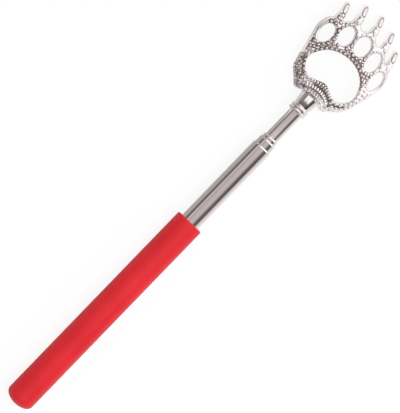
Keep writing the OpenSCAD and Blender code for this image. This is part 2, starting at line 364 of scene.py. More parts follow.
def grip_material():
    """Satin red rubber with a fine grain."""
    material, nodes, links, shader = new_material("red_rubber")
    shader.inputs["Roughness"].default_value = 0.48
    shader.inputs["Specular IOR Level"].default_value = 0.35
    cloud = noise(nodes, links, scale=60, detail=3)
    colours = ramp(nodes, [(0.3, (0.62, 0.010, 0.018)), (0.7, (0.70, 0.014, 0.023))])
    links.new(cloud.outputs["Fac"], colours.inputs["Fac"])
    links.new(colours.outputs["Color"], shader.inputs["Base Color"])
    grain = noise(nodes, links, scale=2600, detail=2)
    bump(nodes, links, shader, grain.outputs["Fac"], strength=0.25, distance=0.00006)
    return material


def steel_material(name, colour, smooth, rough):
    """Polished metal with fine lengthwise drawing lines between two roughnesses."""
    material, nodes, links, shader = new_material(name)
    shader.inputs["Base Color"].default_value = (*colour, 1)
    shader.inputs["Metallic"].default_value = 1
    lines = noise(nodes, links, scale=900, detail=3, stretch=(0.03, 1, 1))
    gloss = ramp(nodes, [(0.35, smooth), (0.75, rough)])
    links.new(lines.outputs["Fac"], gloss.inputs["Fac"])
    links.new(gloss.outputs["Color"], shader.inputs["Roughness"])
    return material


def paw_material():
    """Bright plated casting, darker and duller where it is tarnished, with a fine stain over all of it. The
    tarnish value also holds painted shade and painted highlight.
    """
    material, nodes, links, shader = new_material("plated_casting")
    shader.inputs["Metallic"].default_value = 1
    # The furrow value is tarnish, raised on the left as painted shade and lowered on the right, the toes'
    # fronts and a patch of the heel as painted highlight
    tarnish = nodes.new("ShaderNodeAttribute")
    tarnish.attribute_name = "furrow"
    stain = noise(nodes, links, scale=900, detail=3)
    depth = maths(nodes, links, "MULTIPLY_ADD", stain.outputs["Fac"], STAIN_SHARE, tarnish.outputs["Fac"])
    colours = ramp(nodes, [(0.2, (0.86, 0.80, 0.80)), (0.6, (0.38, 0.30, 0.29)), (1.0, (0.10, 0.065, 0.06))])
    gloss = ramp(nodes, [(0.2, 0.12), (1.0, 0.45)])
    for node, socket in ((colours, "Base Color"), (gloss, "Roughness")):
        links.new(depth, node.inputs["Fac"])
        links.new(node.outputs["Color"], shader.inputs[socket])
    return material


# Meshes


def add_mesh(name, points, faces, material, body, node):
    """Mesh object from points in metres, which stands for a CAD node and rides on its body."""
    mesh = bpy.data.meshes.new(name)
    mesh.from_pydata([tuple(p) for p in points], [], [tuple(f) for f in faces])
    mesh.materials.append(material)
    mesh.polygons.foreach_set("use_smooth", [True] * len(mesh.polygons))
    piece = bpy.data.objects.new(name, mesh)
    bpy.context.scene.collection.objects.link(piece)
    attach(piece, body)
    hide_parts(node)
    return piece


def lathe(name, profile, material, body, node, sides=144):
    """Closed profile of (radius, distance along the rod) points, turned round the rod's axis.

    A point on the axis becomes a pole.
    """
    points = []
    rings = []
    for radius, along in profile:
        first = len(points)
        count = sides if radius > 0 else 1
        for k in range(count):
            angle = 2 * math.pi * k / sides
            points.append((
                (ROD_START + along) * MM,
                radius * math.cos(angle) * MM,
                (AXIS_H + radius * math.sin(angle)) * MM,
            ))
        rings.append((first, count))
    faces = []
    for (a, count_a), (b, count_b) in zip(rings, rings[1:] + rings[:1]):
        if count_a == 1 and count_b == 1:
            continue
        for k in range(sides):
            near = (k + 1) % sides
            corners = [a + k % count_a, a + near % count_a, b + near % count_b, b + k % count_b]
            faces.append(list(dict.fromkeys(corners)))
    piece = add_mesh(name, points, faces, material, body, node)
    piece.data.set_sharp_from_angle(angle=SHARP_ANGLE)
    return piece


# Profiles of the turned pieces


def arc(steps):
    """Angles from 0 to a quarter turn."""
    return [math.pi / 2 * k / steps for k in range(steps + 1)]


def tube_profile(i):
    """Thin tube i: a sliding one has a rolled bead above its foot, an outer one a rolled-in mouth."""
    outside = [(TUBE_R[i], FEET[i])]
    if i > 0:
        low = FEET[i] + SPRING_LEN + 2 * FOOT_GAP
        outside += [
            (TUBE_R[i] + ROLL_IN * math.sin(2 * a), low + BEAD_LEN * 2 * a / math.pi) for a in arc(steps=16)
        ]
    if i < INNER:
        outside += [
            (TUBE_R[i] - ROLL_IN * u**2, MOUTHS[i] - TUBE_WALL - MOUTH_LEN * (1 - u))
            for u in np.linspace(0, 1, num=13)
        ]
    else:
        outside.append((TUBE_R[i], MOUTHS[i] - TUBE_WALL))
    edge_r, edge_x = outside[-1]
    turned_edge = [
        (edge_r - TUBE_WALL / 2 * (1 - math.cos(2 * a)), edge_x + TUBE_WALL * math.sin(2 * a))
        for a in arc(steps=8)
    ]
    inside = [(r - TUBE_WALL, x) for r, x in reversed(outside)]
    return outside + turned_edge[1:-1] + inside


def grip_profile():
    """Barrel with a domed end, a rounded mouth and the bore that the handle tube sits in."""
    dome = [(AXIS_H * math.sin(a), GRIP_DOME * (1 - math.cos(a))) for a in arc(steps=24)]
    lip = [
        (AXIS_H - GRIP_LIP * (1 - math.cos(a)), GRIP_LEN - GRIP_LIP * (1 - math.sin(a))) for a in arc(steps=8)
    ]
    bore_r = TUBE_D / 2 + PRESS_GAP
    return dome + lip + [(bore_r, GRIP_LEN), (bore_r, GRIP_FLOOR), (0, GRIP_FLOOR)]


def neck_profile():
    """Two ring beads, a groove and a bell, round the sockets for the tube and the paw's tenon."""
    # The second bead begins at the first one's last point, so it leaves out its own first
    beads = [
        (GROOVE_R + NECK_BEAD_H * math.sin(2 * a), NECK_X + (bead + 2 * a / math.pi) * NECK_BEAD_LEN)
        for bead in range(2)
        for a in arc(steps=20)[bead:]
    ]
    low = NECK_X + 2 * NECK_BEAD_LEN + NECK_BEAD_H / 2
    swell = (np.linspace(0, 1, num=21) + BELL_EASE) ** BELL_SWELL
    swell = (swell - swell[0]) / (swell[-1] - swell[0])
    bell = list(zip(GROOVE_R + NECK_BELL_H * swell, np.linspace(low, PAW_X - BELL_LIP, len(swell))))
    bell += [
        (BELL_R - BELL_LIP * (1 - math.cos(a)), PAW_X - BELL_LIP * (1 - math.sin(a)))
        for a in arc(steps=8)[1:]
    ]
    socket_x = NECK_X + SOCKET_DEPTH
    sockets = [(TENON_D / 2, PAW_X), (TENON_D / 2, socket_x), (SOCKET_R, socket_x)]
    return [(SOCKET_R, NECK_X)] + beads + bell + sockets


# Paw: helpers for distances


def step(value, low, high):
    """Smooth step from 0 at low to 1 at high."""
    t = np.clip((value - low) / (high - low), 0, 1)
    return t * t * (3 - 2 * t)


def smooth_union(a, b, blend):
    """Union of two distances with a rounded inner corner."""
    near = np.maximum(blend - np.abs(a - b), 0) / blend
    return np.minimum(a, b) - near**2 * blend / 4


def cone_distance(p, a, b, ra, rb):
    """Distance to a round bar from a to b whose radius runs from ra to rb, and the share along it."""
    run = b - a
    share = np.clip((p - a) @ run / (run @ run), 0, 1)
    return np.linalg.norm(p - a - share[:, None] * run, axis=1) - ra - share * (rb - ra), share


def ring_distance(x, y, ring):
    """Distance to a closed ring of plan points, negative inside it."""
    nearest = np.full(x.shape, np.inf)
    inside = np.zeros(x.shape, bool)
    for (ax, ay), (bx, by) in zip(ring, np.roll(ring, -1, 0)):
        run_x, run_y = bx - ax, by - ay
        share = np.clip(((x - ax) * run_x + (y - ay) * run_y) / (run_x**2 + run_y**2), 0, 1)
        nearest = np.minimum(nearest, (x - ax - share * run_x) ** 2 + (y - ay - share * run_y) ** 2)
        if ay != by:
            inside ^= ((ay > y) != (by > y)) & (x < ax + (y - ay) * run_x / run_y)
    return np.where(inside, -1, 1) * np.sqrt(nearest)


# Paw: plan curves


def smooth_ring(points, steps):
    """Closed smooth curve through a ring of plan points."""
    p = np.asarray(points, float)
    a, b, c, d = np.roll(p, 1, 0), p, np.roll(p, -1, 0), np.roll(p, -2, 0)
    parts = [
        0.5 * (2 * b + (c - a) * t + (2 * a - 5 * b + 4 * c - d) * t**2 + (3 * b - a - 3 * c + d) * t**3)
        for t in np.arange(steps) / steps
    ]
    return np.stack(parts, 1).reshape(-1, 2)


def both_halves(points):
    """Half an outline, from the axis round to the axis, completed by its mirror image."""
    return list(points) + [(x, -y) for x, y in points[-2:0:-1]]


def toe_middle(i):
    """Plan place of toe i on the toes' arc, or of a place between two toes."""
    return np.array([TOE_X - TOE_ARC_R * (1 - math.cos(i * TOE_FAN)), TOE_ARC_R * math.sin(i * TOE_FAN)])


def rim_half():
    """Middle line of the rim: round the heel, along the palm, and scalloped over the toes."""
    front = TOE_LEN / 2 + RIM_R
    outer = toe_middle(2)
    between_toes = toe_middle(1.5)
    inner = toe_middle(1)
    valley = toe_middle(0.5)
    return [
        (RIM_R, 0),
        (RIM_R, HEEL_W / 6),
        (RIM_R - HEEL_BACK, HEEL_W / 3),
        (RIM_R + HEEL_BACK / 3, HEEL_W / 2 - RIM_R),
        (HEEL_DEPTH, (HEEL_W + 2 * PALM_W) / 6 - RIM_R),
        (2 * HEEL_DEPTH, PALM_W / 2 - RIM_R),
        (outer[0] - TOE_LEN / 2, (PALM_W + 2 * PAW_W) / 6 - RIM_R),
        (outer[0], PAW_W / 2 - RIM_R),
        (outer[0] + TOE_LEN / 2, (PALM_W + 2 * PAW_W) / 6 - RIM_R),
        (outer[0] + front, outer[1]),
        (between_toes[0] + TOE_LEN / 2, between_toes[1]),
        (inner[0] + front, inner[1]),
        (valley[0] + TOE_LEN / 2 - RIM_R / 2, valley[1]),
        (TOE_X + front, 0),
    ]


def window_half():
    """Palm window: a kidney, as shares of its length and half width from its back edge."""
    shares = [
        (WINDOW_NOTCH / WINDOW_LEN, 0), (0.06, 0.28), (0, 0.54), (0.09, 0.83),
        (0.36, 1), (0.72, 0.82), (0.93, 0.46), (1, 0),
    ]
    return [(HEEL_DEPTH + along * WINDOW_LEN, across * WINDOW_W / 2) for along, across in shares]


def toe_ring(i, count=56):
    """Oval toe window."""
    turn = 2 * math.pi * np.arange(count) / count
    half = TOE_W / 2 - abs(i) * TOE_NARROW / 2
    return toe_middle(i) + np.stack([TOE_LEN / 2 * np.cos(turn), half * np.sin(turn)], 1)


RIM_RING = smooth_ring(both_halves(rim_half()), steps=6)
PALM_RING = smooth_ring(both_halves(window_half()), steps=8)
TOE_RINGS = [toe_ring(i) for i in TOES]


# Paw: claws


def dome_z(x, y):
    """Height of the paw's middle surface above the rod's axis."""
    return CROWN_Z - DOME_R + np.sqrt(DOME_R**2 - (x - CROWN_X) ** 2 - y**2)


def claw_bezier(i):
    """Root, bend and tip of claw i."""
    x, y = toe_middle(i) + [TOE_LEN / 2 + KNUCKLE_INSET + KNUCKLE_D / 2, 0]
    root = np.array([x, y, dome_z(x, y)])
    tip = np.array([toe_middle(i)[0] + CLAW_REACH - CLAW_TIP_D / 2, y, CLAW_TIP_D / 2 - AXIS_H])
    run = CLAW_LEAD * (tip[0] - root[0])
    slope = (x - CROWN_X) / (root[2] - CROWN_Z + DOME_R)
    return root, root + [run, 0, -run * slope], tip


def claw_point(i, t):
    """Point on the middle line of claw i, at a share of its length."""
    root, bend, tip = claw_bezier(i)
    return (1 - t) ** 2 * root + 2 * t * (1 - t) * bend + t**2 * tip


def claw_r(t):
    """Radius of a claw at a share of its length."""
    return (KNUCKLE_D + (CLAW_TIP_D - KNUCKLE_D) * t) / 2 - (1 - t) * CUTICLE


def claw_distance(q, i):
    """Distance to claw i as a chain of round bars, and the share of its length nearest to each point."""
    found = np.full(len(q), np.inf)
    place = np.zeros(len(q))
    ends = np.linspace(0, 1, CLAW_BARS + 1)
    for t0, t1 in zip(ends, ends[1:]):
        bar, share = cone_distance(q, claw_point(i, t0), claw_point(i, t1), claw_r(t0), claw_r(t1))
        nearer = bar < found
        found[nearer] = bar[nearer]
        place[nearer] = t0 + (t1 - t0) * share[nearer]
    return found, place


def knuckle_distance(q, i):
    """Distance to the knuckle that claw i grows out of."""
    ends = claw_point(i, 0), claw_point(i, KNUCKLE_SHARE)
    return cone_distance(q, *ends, KNUCKLE_D / 2, claw_r(KNUCKLE_SHARE) + CUTICLE)[0]


def nail_groove(q, i, place):
    """Share of the groove's depth round the nail, an oval on the upper side of claw i near its tip."""
    root, bend, tip = claw_bezier(i)
    t = place[:, None]
    run = (1 - t) * (bend - root) + t * (tip - bend)
    off = q - claw_point(i, t)
    above = off[:, 2] * run[:, 0] - off[:, 0] * run[:, 2]
    length = np.linalg.norm(bend - root) + np.linalg.norm(tip - bend)
    oval = np.hypot((place - NAIL_PLACE) * length / (NAIL_LEN / 2), (q[:, 1] - root[1]) / (NAIL_W / 2))
    return step(1 - np.abs(oval - 1) / NAIL_LINE, 0, 1) * (above > 0)


def near_claw(p, i):
    """Which points lie close enough to claw i for it to count."""
    root = claw_point(i, 0)
    beside = np.abs(p[:, 1] - root[1]) < CLAW_NEAR_SIDE
    return beside & (p[:, 0] > root[0] - CLAW_NEAR_BEHIND) & (p[:, 2] < root[2] + CLAW_NEAR_SIDE)


# Paw: fields over its plan


class Plan:
    """Raster over the paw's plan. Fields that are sampled on it are read between its points."""

    def __init__(self, cell):
        self.low = PAW_LOW[:2]
        self.cell = cell
        shape = np.ceil((PAW_HIGH[:2] - self.low) / cell).astype(int) + 1
        sides = [low + cell * np.arange(count) for low, count in zip(self.low, shape)]
        self.x, self.y = np.meshgrid(*sides, indexing="ij")

    def read(self, field, x, y):
        """Values of a field at plan places, with places outside the raster moved just inside its edge."""
        just_inside = 1.001
        u = np.clip((x - self.low[0]) / self.cell, 0, field.shape[0] - just_inside)
        v = np.clip((y - self.low[1]) / self.cell, 0, field.shape[1] - just_inside)
        i, j = u.astype(int), v.astype(int)
        u, v = u - i, v - j
        return (
            (field[i, j] * (1 - v) + field[i, j + 1] * v) * (1 - u)
            + (field[i + 1, j] * (1 - v) + field[i + 1, j + 1] * v) * u
        )


def knuckle_plan(x, y):
    """Plan distance to the knuckles in front of the toes, negative inside."""
    found = np.full(x.shape, np.inf)
    for i in TOES:
        a, b = claw_point(i, 0), claw_point(i, KNUCKLE_SHARE)
        across = np.hypot(x - np.clip(x, a[0], b[0]), y - a[1])
        found = np.minimum(found, across - KNUCKLE_D / 2)
    return found


# Distances out from the outline, with their slope, into the nearest window, and out from the skin's edge
plan = Plan(PLAN_CELL)
outline = ring_distance(plan.x, plan.y, RIM_RING) - RIM_R
outwards = np.gradient(outline, plan.cell)
opening = -np.minimum.reduce([ring_distance(plan.x, plan.y, ring) for ring in [PALM_RING, *TOE_RINGS]])
skin_edge = np.minimum(outline, knuckle_plan(plan.x, plan.y))


# Paw: skin of beads


def offset_ring(ring, distance):
    """Ring moved outwards by a distance, for a ring that runs anticlockwise or clockwise."""
    run = np.roll(ring, -1, 0) - np.roll(ring, 1, 0)
    normal = np.stack([run[:, 1], -run[:, 0]], 1) / np.linalg.norm(run, axis=1)[:, None]
    area = np.sum(ring[:, 0] * np.roll(ring[:, 1], -1) - np.roll(ring[:, 0], -1) * ring[:, 1])
    return ring + math.copysign(distance, area) * normal


def walk(ring, pitch):
    """Points at even steps along a closed ring, three at least."""
    closed = np.vstack([ring, ring[:1]])
    length = np.concatenate([[0], np.cumsum(np.linalg.norm(np.diff(closed, axis=0), axis=1))])
    count = max(3, round(length[-1] / pitch))
    at = np.arange(count) * length[-1] / count
    return np.stack([np.interp(at, length, closed[:, k]) for k in range(2)], 1)


def heel_share(x):
    """How far a place belongs to the heel, where the beads run out over the rim."""
    return 1 - step(x, *HEEL_FADE)


def heel_beads():
    """Long beads in rows that fan out from the neck: x, y, half length, half width, direction."""
    beads = []
    for row in range(HEEL_ROWS):
        radius = HEEL_START + HEEL_ROW * row - FAN_X
        count = round(FAN_ANGLE * radius / HEEL_BEAD_W)
        for k in range(count + 1):
            angle = FAN_ANGLE * ((k + row % 2 / 2) / count - 0.5)
            x, y = FAN_X + radius * math.cos(angle), radius * math.sin(angle)
            beads.append((x, y, HEEL_ROW / 2 * HEEL_FILL_LEN, HEEL_BEAD_W / 2 * HEEL_FILL_W, angle))
    return beads


def bead_fits(x, y, room, beads):
    """Whether a bead's middle may lie at a plan place, with room to the beads that are there."""
    place = np.array([x]), np.array([y])
    if plan.read(opening, *place)[0] > -WINDOW_MARGIN:
        return False
    if plan.read(skin_edge, *place)[0] > heel_share(x) * BEAD_WRAP - BEAD_MARGIN:
        return False
    if BARE_FROM < x < BARE_TO and abs(y) > BARE_W / 2:
        return False
    return all((x - bead[0]) ** 2 + (y - bead[1]) ** 2 > room**2 for bead in beads)


def skin_beads():
    """All beads of the skin: the heel's rows, then rows round the windows, then what still fits between."""
    random = np.random.default_rng(SKIN_SEED)
    beads = []
    for bead in heel_beads():
        if abs(bead[1]) < FAN_W / 2 and bead_fits(bead[0], bead[1], 0, beads):
            beads.append(bead)
    rows = [offset_ring(PALM_RING, ROW_START + BEAD_PITCH * k) for k in range(PALM_ROWS)]
    rows += [offset_ring(ring, ROW_START + BEAD_PITCH * k) for k in range(TOE_ROWS) for ring in TOE_RINGS]
    room = BEAD_ROOM * BEAD_PITCH
    for row in rows:
        for x, y in walk(row, BEAD_PITCH):
            if bead_fits(x, y, room, beads):
                size = BEAD_D / 2 * random.uniform(*SIZE_RANGE)
                beads.append((x, y, size, size * random.uniform(*OVAL_RANGE), random.uniform(0, math.pi)))
    size = BEAD_D / 2 * FILL_SIZE
    for x in np.arange(*FILL_X, FILL_STEP):
        for y in np.arange(*FILL_Y, FILL_STEP):
            if bead_fits(x, y, room, beads):
                beads.append((x, y, size, size, 0))
    return beads


def skin_rasters(beads):
    """Rasters of the beads' rounded tops, from 0 to 1, and of the tarnish that lies close round each bead."""
    raster = Plan(SKIN_CELL)
    tops = np.zeros(raster.x.shape)
    tarnish = np.zeros(raster.x.shape)
    for x, y, length, width, angle in beads:
        i, j = np.round((np.array([x, y]) - raster.low) / raster.cell).astype(int)
        reach = math.ceil(TARNISH_REACH * length / raster.cell) + 1
        part = (slice(i - reach, i + reach + 1), slice(j - reach, j + reach + 1))
        along = (raster.x[part] - x) * math.cos(angle) + (raster.y[part] - y) * math.sin(angle)
        across = (raster.y[part] - y) * math.cos(angle) - (raster.x[part] - x) * math.sin(angle)
        radius = np.hypot(along / length, across / width)
        tops[part] = np.maximum(tops[part], np.maximum(1 - radius**2, 0) ** BEAD_ROUNDNESS)
        tarnish[part] = np.maximum(tarnish[part], 1 - step(radius, 1, TARNISH_REACH))
    tarnish *= 1 - step(tops, 0, TARNISH_TOP)
    for axis in (0, 1):
        tops = sum(np.roll(tops, shift, axis) for shift in FOOT_CELLS) / len(FOOT_CELLS)
    return raster, tops, tarnish


skin_raster, skin_tops, skin_tarnish = skin_rasters(skin_beads())


def above_dome(p):
    """Height of a point over the paw's middle surface."""
    return np.linalg.norm(p - DOME_MIDDLE, axis=1) - DOME_R


def skin_cover(p):
    """How far the skin covers a point: on the back, up to its edge or past it at the heel."""
    x, y, _ = p.T
    wrap = BEAD_WRAP * heel_share(x)
    inside = step(wrap - plan.read(skin_edge, x, y), *EDGE_FADE)
    return step(above_dome(p) + wrap / 2, *BACK_FADE) * inside


def skin_place(p):
    """Plan place of a point on the skin, laid out flat past the rim where the skin wraps over it."""
    x, y, _ = p.T
    down = np.clip(RIM_R - above_dome(p), 0, 2 * RIM_R) * heel_share(x)
    down *= step(plan.read(outline, x, y), -RIM_R, 0)
    return [p[:, k] + down * plan.read(slope, x, y) for k, slope in enumerate(outwards)]


def tarnish_kept_and_painted_light(x, y):
    """Share of the tarnish that is kept at a plan place: less towards the rim and on a stretch of the left
    side, more to the left as painted shade, and less on the right, on the toes' fronts and on a patch of the
    heel as painted highlight.
    """
    # Painted shade: more tarnish is kept towards the left side
    at_rim = np.clip(RIM_TARNISH + LEFT_PAINTED_SHADE_GAIN * y, 0, 1)
    # Painted highlight: the tarnish is taken further in on the right, and more so at the heel
    inwards = -plan.read(skin_edge, x, y) - RIGHT_PAINTED_HIGHLIGHT * np.clip(-y - RIGHT_FROM, 0, RIGHT_W)
    on_heel = 1 - step(x, *RIGHT_HEEL_FADE)
    inwards -= RIGHT_HEEL_PAINTED_HIGHLIGHT * np.clip(-y - RIGHT_HEEL_FROM, 0, RIGHT_W) * on_heel
    kept = at_rim + (1 - at_rim) * step(inwards, *RIM_TARNISH_GROWTH)
    # Painted highlight on the toes' fronts
    from_middle = np.hypot(x - TOE_X + TOE_ARC_R, y)
    kept *= 1 - FRONT_PAINTED_HIGHLIGHT * step(from_middle, *FRONT_FADE) * (1 - step(y, *FRONT_LEFT))
    # Painted highlight on a patch of the heel's left
    kept *= 1 - PATCH_PAINTED_HIGHLIGHT * (1 - step(np.hypot(x - PATCH_X, y - PATCH_Y), *PATCH_FADE))
    begins = step(x, STRETCH_FROM, STRETCH_FROM + STRETCH_EDGE)
    ends = step(x, STRETCH_TO - STRETCH_EDGE, STRETCH_TO)
    return kept * (1 - STRETCH_PALING * begins * (1 - ends) * step(y, *STRETCH_LEFT))


def furrow_tarnish_and_painted_light(p):
    """Tarnish on the paw: in the furrows between the beads, raised or lowered by place as painted shade and
    painted highlight, and round the nails.
    """
    shade = skin_raster.read(skin_tarnish, *skin_place(p)) * skin_cover(p) * tarnish_kept_and_painted_light(p[:, 0], p[:, 1])
    for i in TOES:
        near = near_claw(p, i)
        claw, place = claw_distance(p[near], i)
        groove = NAIL_TARNISH * nail_groove(p[near], i, place) * (claw < NAIL_TARNISH_REACH)
        shade[near] = np.maximum(shade[near], groove)
    return shade


# Paw: distance field and mesh


def plate_distance(p):
    """Distance to the domed plate, with its windows and its thicker rim."""
    x, y, _ = p.T
    over = above_dome(p)
    rim = plan.read(outline, x, y)
    half = PLATE_T / 2 + (RIM_D - PLATE_T) / 2 * step(rim, -RIM_BEGIN, -RIM_FULL)
    half -= RIM_FALL * np.clip(1 + rim / RIM_D, 0, 1) ** 2 * (over > 0)
    edge = np.maximum(rim, plan.read(opening, x, y)) + EDGE_R
    face = np.abs(over) - half + EDGE_R
    outside = np.hypot(np.maximum(edge, 0), np.maximum(face, 0))
    return outside + np.minimum(np.maximum(edge, face), 0) - EDGE_R


def mound_distance(q):
    """Distance to the half ellipsoid where the plate meets the neck."""
    size = np.array([MOUND_LEN, MOUND_W, BELL_R - HEEL_CLEAR])
    scaled = np.linalg.norm(q / size, axis=1)
    slope = np.linalg.norm(q / size**2, axis=1)
    return np.maximum(scaled * (scaled - 1) / np.maximum(slope, TINY), -q[:, 0])


def collar_distance(q):
    """Distance to the round collar between the bell and the paw."""
    around = np.hypot(q[:, 1], q[:, 2]) - BELL_R
    return np.hypot(around, q[:, 0] - COLLAR_R) - COLLAR_R


def paw_distance(p):
    """Distance to the paw's casting, negative inside."""
    x, y, z = p.T
    found = plate_distance(p)
    near = x < MOUND_REACH
    for other, blend in ((mound_distance(p[near]), MOUND_BLEND), (collar_distance(p[near]), COLLAR_BLEND)):
        found[near] = smooth_union(found[near], other, blend)
    for i in TOES:
        near = near_claw(p, i)
        q = p[near]
        claw, place = claw_distance(q, i)
        claw += NAIL_GROOVE * nail_groove(q, i, place)
        with_knuckle = smooth_union(found[near], knuckle_distance(q, i), KNUCKLE_BLEND)
        found[near] = smooth_union(with_knuckle, claw, CLAW_BLEND)
    room_for_bell = np.minimum(BELL_R + HEEL_CLEAR - np.hypot(y, z), -x)
    found = np.maximum(found, room_for_bell)
    place = skin_place(p)
    height = BEAD_HEIGHT * (1 - WRAP_FALL * step(plan.read(outline, *place), -RIM_R, RIM_R))
    return found - height * skin_raster.read(skin_tops, *place) * skin_cover(p)


def surface_net(values, low, cell):
    """Quads of a sampled field's zero surface, with one point in each cell that it passes through."""
    inside = values < 0
    size = np.array(values.shape) - 1
    corners = [
        inside[i:size[0] + i, j:size[1] + j, k:size[2] + k].astype(np.int8)
        for i, j, k in itertools.product((0, 1), repeat=3)
    ]
    count = sum(corners)
    active = np.argwhere((count > 0) & (count < len(corners)))
    number = np.full(size, -1)
    number[tuple(active.T)] = np.arange(len(active))
    total = np.zeros((len(active), 3))
    hits = np.zeros(len(active))
    faces = []
    for axis in range(3):
        # A cell's point is the mean of the places where the surface crosses the cell's edges
        others = [(axis + 1) % 3, (axis + 2) % 3]
        for shift in itertools.product((0, 1), repeat=2):
            start = active.copy()
            start[:, others] += shift
            stop = start.copy()
            stop[:, axis] += 1
            a, b = values[tuple(start.T)], values[tuple(stop.T)]
            cross = (a < 0) != (b < 0)
            point = start[cross].astype(float)
            point[:, axis] += a[cross] / (a[cross] - b[cross])
            total[cross] += point
            hits[cross] += 1
        # A quad joins the points of the four cells round each edge that the surface crosses
        ahead = np.moveaxis(inside, axis, 0)
        edges = np.argwhere(ahead[:-1] != ahead[1:])
        order = [axis] + [k for k in range(3) if k != axis]
        edges = edges[:, np.argsort(order)]
        leaving = inside[tuple(edges.T)]
        around = []
        for shift in ((0, 0), (-1, 0), (-1, -1), (0, -1)):
            cellmate = edges.copy()
            cellmate[:, others] += shift
            around.append(number[tuple(cellmate.T)])
        quads = np.stack(around, 1)
        quads[~leaving] = quads[~leaving][:, ::-1]
        faces.append(quads)
    return low + cell * total / hits[:, None], np.vstack(faces)


def settle(points):
    """Points moved along the field's slope onto its zero surface, in passes of short moves."""
    for _ in range(SETTLE_PASSES):
        slope = np.stack([
            paw_distance(points + SLOPE_STEP * side) - paw_distance(points - SLOPE_STEP * side)
            for side in np.eye(3)
        ], 1) / (2 * SLOPE_STEP)
        steepness = np.maximum(np.sum(slope**2, 1), LEAST_SLOPE)[:, None]
        move = paw_distance(points)[:, None] * slope / steepness
        size = np.linalg.norm(move, axis=1)[:, None]
        points = points - move * np.minimum(1, LONGEST_MOVE / np.maximum(size, TINY))
    return points


def paw_mesh(cell):
    """Points and quads of the paw."""
    axes = [np.arange(low, high, cell) for low, high in zip(PAW_LOW, PAW_HIGH)]
    y, z = np.meshgrid(axes[1], axes[2], indexing="ij")
    values = np.stack([
        paw_distance(np.stack([np.full(y.size, x), y.ravel(), z.ravel()], 1)).reshape(y.shape)
        for x in axes[0]
    ])
    points, faces = surface_net(values, PAW_LOW, cell)
    return settle(points), faces


def build_paw(material):
    """The paw's casting, with its tarnish, and the painted shade and painted highlight in it, as a value on
    each point.
    """
    points, faces = paw_mesh(MESH_CELL)
    placed = (points + np.array([ROD_START + PAW_X, 0, AXIS_H])) * MM
    piece = add_mesh("paw_casting", placed, faces, material, "inner_section", "paw_head")
    # The furrow value holds the tarnish with painted shade on the left and painted highlight on the right,
    # the toes' fronts and a patch of the heel
    attribute = piece.data.attributes.new("furrow", "FLOAT", "POINT")
    attribute.data.foreach_set("value", furrow_tarnish_and_painted_light(points).astype(np.float32))


# Pieces and their materials

rubber = grip_material()
steel = steel_material("polished_steel", (0.80, 0.735, 0.735), smooth=0.09, rough=0.17)
plating = steel_material("bright_plating", (0.82, 0.755, 0.755), smooth=0.06, rough=0.12)
brass = steel_material("turned_brass", (0.72, 0.52, 0.22), smooth=0.2, rough=0.35)
bronze = steel_material("rolled_bronze", (0.62, 0.40, 0.19), smooth=0.25, rough=0.4)

lathe("grip_barrel", grip_profile(), rubber, "handle", "grip_sleeve")
TUBES = [
    ("handle", "handle_tube"),
    ("second_section", "second_tube"),
    ("third_section", "third_tube"),
    ("inner_section", "inner_tube"),
]
for index, (body, node) in enumerate(TUBES):
    lathe(node + "_polished", tube_profile(index), steel, body, node)
lathe("neck_turning", neck_profile(), plating, "inner_section", "neck_ferrule")
build_paw(paw_material())

# Every CAD node gets a metal. The plug, feet and springs inside the rod stay, and the others are replaced
for node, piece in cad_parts.items():
    piece.data.materials.clear()
    piece.data.materials.append(bronze if node.endswith("springs") else brass)


# Camera: it looks down on the rod, a little from the left, and the rod lies across the picture

VIEW_ROLL = math.radians(17)
ROD_ANGLE = math.radians(45.95)
PIXELS_PER_MM = 2.25
FRAME_W = 400
VIEW_DISTANCE = 1.1
CLIP_END = 20
# Where the picture's middle falls: distance along the rod from its closed end, and across it
MIDDLE_ALONG = 120
MIDDLE_ACROSS = -1.57

along_rod = Vector((1, 0, 0))
towards = Vector((0, math.sin(VIEW_ROLL), math.cos(VIEW_ROLL)))
across_rod = along_rod.cross(towards)
right = math.cos(ROD_ANGLE) * along_rod + math.sin(ROD_ANGLE) * across_rod
up = math.sin(ROD_ANGLE) * along_rod - math.cos(ROD_ANGLE) * across_rod
middle = Vector(((ROD_START + MIDDLE_ALONG) * MM, 0, AXIS_H * MM)) + across_rod * MIDDLE_ACROSS * MM
camera_data = bpy.data.cameras.new("camera")
camera_data.sensor_fit = "HORIZONTAL"
camera_data.lens = camera_data.sensor_width * VIEW_DISTANCE / (FRAME_W / PIXELS_PER_MM * MM)
camera_data.clip_end = CLIP_END
camera = bpy.data.objects.new("camera", camera_data)
turn = Matrix((right, up, towards)).transposed()
camera.matrix_world = Matrix.Translation(middle + towards * VIEW_DISTANCE) @ turn.to_4x4()
bpy.context.scene.collection.objects.link(camera)
bpy.context.scene.camera = camera


# Stage: a pale floor, two lamps, and a studio sky whose dark and bright bands run along the rod

WHITE = (1, 1, 1, 1)

# Floor: half its side in metres, and its grey. Reflections mostly see a glow in its place, and the camera
# mostly sees through it to the white sky, so that a faint shadow is left
FLOOR_HALF = 4
FLOOR_GREY = 0.92
FLOOR_GLOW = 0.75
FLOOR_CLEAR = 0.88
# Brightness of that glow, by millimetres to the left of the rod
FLOOR_REACH = 60
FLOOR_TONES = [
    (-60, 0.86), (-10, 0.92), (-2, 0.72), (4, 0.46), (10, 0.35), (20, 0.31), (45, 0.24), (60, 0.15),
]
# How far these tones pale to white, by millimetres ahead of the neck
FLOOR_PALE = [
    (-11, 0), (-9, 0.45), (4, 0.85), (14, 0.8), (20, 0.4), (32, 0.4), (44, 1), (50, 1),
]

